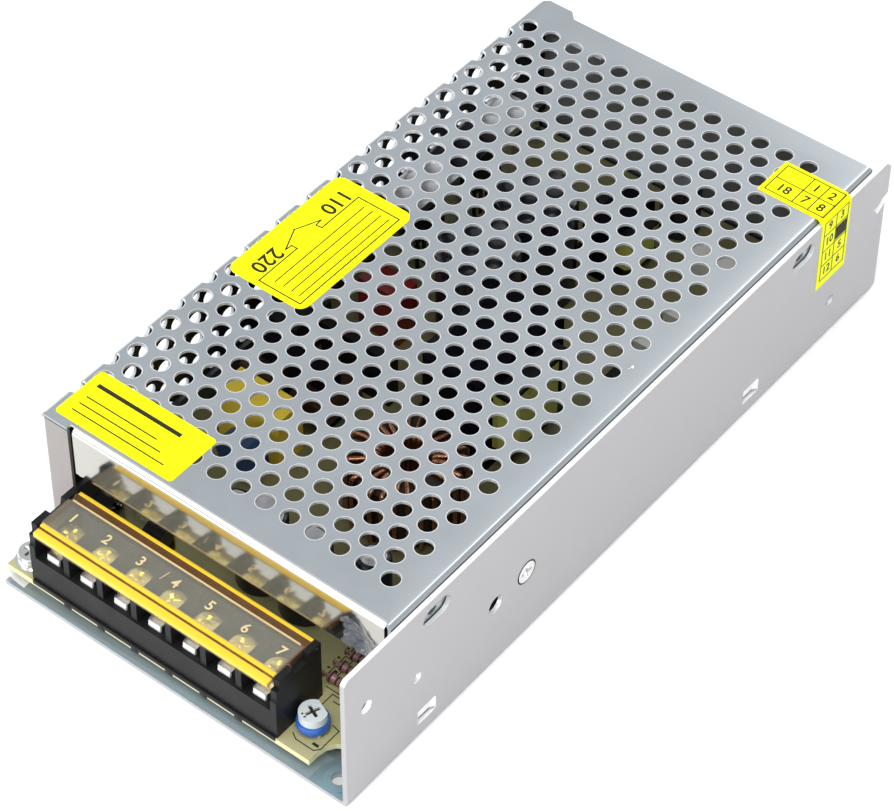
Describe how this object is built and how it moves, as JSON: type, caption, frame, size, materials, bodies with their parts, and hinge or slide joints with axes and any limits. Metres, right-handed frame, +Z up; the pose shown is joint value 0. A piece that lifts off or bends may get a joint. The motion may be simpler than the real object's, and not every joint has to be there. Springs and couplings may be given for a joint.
{
  "type": "enclosed power supply",
  "caption": "Enclosed power supply: L-shaped steel base, perforated cover, screw terminal block under a hinged amber cover.",
  "frame": {"origin": "centre of the underside of the enclosure's bounding box", "axes": "+X across towards the plain right wall, +Y along the case away from the terminals, +Z up from the underside"},
  "size_m": [0.0982, 0.199, 0.0421],
  "materials": {
    "coated_steel": "satin",
    "cover_steel": "satin",
    "screw_steel": "satin",
    "plated_steel": "polished",
    "plated_brass": "satin",
    "bright_aluminium": "satin",
    "clear_film": "gloss",
    "board_laminate": "satin",
    "black_plastic": "satin",
    "amber_plastic": "gloss",
    "blue_plastic": "satin",
    "grey_plastic": "satin",
    "red_plastic": "satin",
    "clear_glass": "gloss",
    "green_coating": "satin",
    "blue_coating": "satin",
    "yellow_plastic": "satin",
    "yellow_tape": "satin",
    "maroon_coating": "gloss",
    "black_sleeve": "gloss",
    "ferrite": "matte",
    "copper_wire": "gloss",
    "grey_pad": "matte",
    "white_plastic": "matte",
    "resistor_coating": "satin",
    "label_yellow": "satin"
  },
  "bodies": {
    "supply": {"base_chassis": "coated_steel", "board_screws": "screw_steel", "board_standoffs": "plated_brass", "bridge_rectifier": "black_plastic", "bulk_capacitors": "black_sleeve", "cement_resistor": "white_plastic", "circuit_board": "board_laminate", "control_chip": "black_plastic", "cover_side_screws": "screw_steel", "date_label": "label_yellow", "driver_bobbin": "black_plastic", "driver_core": "ferrite", "driver_winding": "yellow_tape", "film_capacitor": "maroon_coating", "front_label": "label_yellow", "front_resistors": "resistor_coating", "fuse_caps": "plated_brass", "fuse_clips": "plated_brass", "fuse_glass": "clear_glass", "insulation_film": "clear_film", "line_capacitor": "yellow_plastic", "line_choke_core": "ferrite", "line_choke_windings": "copper_wire", "optocouplers": "white_plastic", "output_capacitors": "black_sleeve", "output_choke_core": "green_coating", "output_choke_winding": "copper_wire", "output_rectifier": "black_plastic", "perforated_cover": "cover_steel", "primary_heatsink": "bright_aluminium", "primary_transistors": "black_plastic", "rectifier_nut": "screw_steel", "rectifier_pad": "grey_pad", "rectifier_screw": "screw_steel", "selector_label": "label_yellow", "selector_switch_body": "black_plastic", "small_capacitors": "black_sleeve", "surge_disc": "blue_coating", "terminal_block_body": "black_plastic", "terminal_clamp_plates": "plated_steel", "terminal_contacts": "plated_brass", "terminal_screws": "screw_steel", "thermistor": "green_coating", "transformer_bobbin": "black_plastic", "transformer_core": "ferrite", "transformer_winding": "yellow_tape", "trimmer_body": "blue_plastic"},
    "lid": {"terminal_cover": "amber_plastic"},
    "trimmer": {"trimmer_rotor": "grey_plastic"},
    "slider": {"selector_slider": "red_plastic"}
  },
  "joints": [
    {"name": "terminal_cover_hinge", "type": "hinge", "parent": "supply", "child": "lid", "pos_m": [-0.006, -0.0846, 0.0225], "axis": [-1, 0, 0], "range_deg": [0, 84]},
    {"name": "trimmer_turn", "type": "hinge", "parent": "supply", "child": "trimmer", "pos_m": [0.0332, -0.0914, 0.0098], "axis": [0, 0, 1], "range_deg": [-135, 135]},
    {"name": "selector_slide", "type": "slide", "parent": "supply", "child": "slider", "axis": [0, 1, 0], "range_m": [0, 0.004]}
  ]
}
